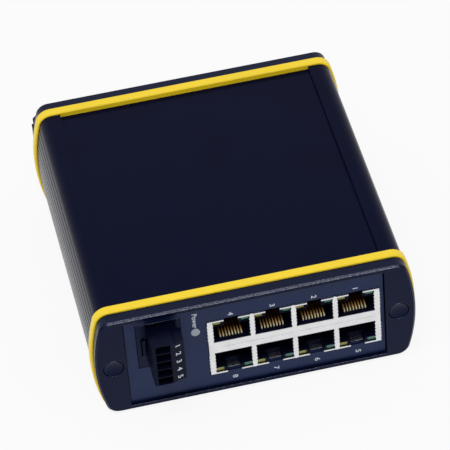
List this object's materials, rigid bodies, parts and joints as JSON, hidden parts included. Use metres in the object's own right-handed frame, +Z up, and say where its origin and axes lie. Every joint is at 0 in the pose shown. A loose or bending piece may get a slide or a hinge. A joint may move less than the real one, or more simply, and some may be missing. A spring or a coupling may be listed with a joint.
{
  "type": "din rail network switch",
  "caption": "Slim extruded metal box with moulded end caps, bright trim rings, stacked network sockets, a pluggable power terminal and a sprung rail clip.",
  "frame": {"origin": "middle of the overall box on the plane the switch rests on, under its two rings", "axes": "+X to the right along the front, +Y from the sockets towards the rail clip, +Z up from the surface it lies on"},
  "size_m": [0.1096, 0.1314, 0.043],
  "materials": {
    "anodised_case": "black anodised, fine satin",
    "trim_rubber": "moulded yellow, satin",
    "cap_plastic": "moulded dark slate, satin",
    "panel": "dark slate powder coat",
    "screw_steel": "blackened steel",
    "shield_metal": "nickel plated sheet",
    "black_plastic": "moulded black",
    "contact_gold": "gold plated",
    "yellow_lens": "clear moulding, yellow tint",
    "green_lens": "clear moulding, green tint",
    "circuit_board": "green solder mask",
    "chip_black": "moulded package",
    "can_metal": "plain drawn can",
    "tin_metal": "tin plated",
    "spring_steel": "bright spring wire",
    "lamp_lens": "clear moulding"
  },
  "bodies": {
    "switch": {"case_extrusion": "anodised_case", "top_cover": "anodised_case", "front_ring": "trim_rubber", "rear_ring": "trim_rubber", "front_cap": "cap_plastic", "rear_cap": "cap_plastic", "front_screw_blanks": "cap_plastic", "rear_screw_blanks": "cap_plastic", "front_case_screws": "screw_steel", "rear_case_screws": "screw_steel", "front_panel": "panel", "jack_shield": "shield_metal", "jack_insulator": "black_plastic", "yellow_light_pipes": "yellow_lens", "green_light_pipes": "green_lens", "jack_contacts": "contact_gold", "main_board": "circuit_board", "power_board": "circuit_board", "board_link": "chip_black", "port_transformers": "chip_black", "switch_chip": "chip_black", "clock_crystal": "can_metal", "board_capacitors": "can_metal", "power_regulator": "chip_black", "power_inductor": "chip_black", "power_lamp_lens": "lamp_lens", "power_lamp": "black_plastic", "terminal_header": "black_plastic", "header_pins": "tin_metal", "terminal_plug": "black_plastic", "wire_cages": "tin_metal", "clamp_screws": "screw_steel", "clip_base": "black_plastic", "latch_spring": "spring_steel", "clip_screws": "screw_steel"},
    "latch": {"rail_latch": "black_plastic"}
  },
  "joints": [
    {"name": "latch_slide", "type": "slide", "parent": "switch", "child": "latch", "axis": [-1, 0, 0], "range_m": [0, 0.004], "stiffness_N_per_m": 2000, "springref_m": -0.002, "deforming": ["latch_spring"]}
  ]
}
